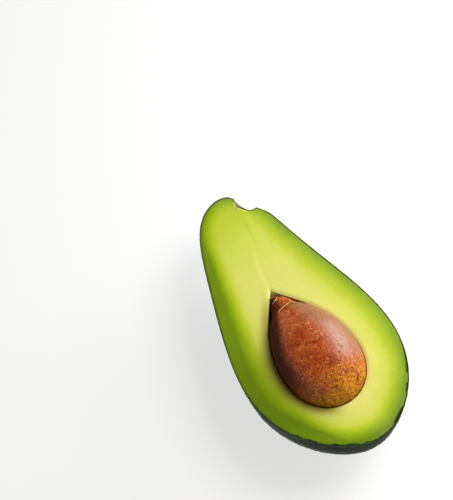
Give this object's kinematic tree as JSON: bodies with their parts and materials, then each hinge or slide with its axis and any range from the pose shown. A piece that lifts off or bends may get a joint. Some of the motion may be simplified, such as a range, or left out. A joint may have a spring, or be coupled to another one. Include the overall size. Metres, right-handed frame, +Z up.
{
  "type": "avocado half",
  "caption": "Lengthwise half of a pear-shaped, dark green avocado lying on its back with its cut face up: thin skin, soft flesh, and a teardrop seed standing proud in its hollow.",
  "frame": {"origin": "on the surface it rests on, under the middle of the half's outline seen from above", "axes": "+Z up and square to the cut face, +Y along the fruit towards its stem end, +X to the side that the stem's pit is on"},
  "size_m": [0.0614, 0.1218, 0.0463],
  "materials": {
    "skin": "dark green, leathery and pebbled, with a dull waxy shine and small pale flecks",
    "flesh": "smooth, moist and buttery, pale yellow by the seed and green under the skin",
    "seed": "thin reddish-brown coat, mottled and finely wrinkled, with a satin shine"
  },
  "bodies": {
    "root": {"skin": "skin", "flesh": "flesh", "seed": "seed"}
  },
  "joints": []
}
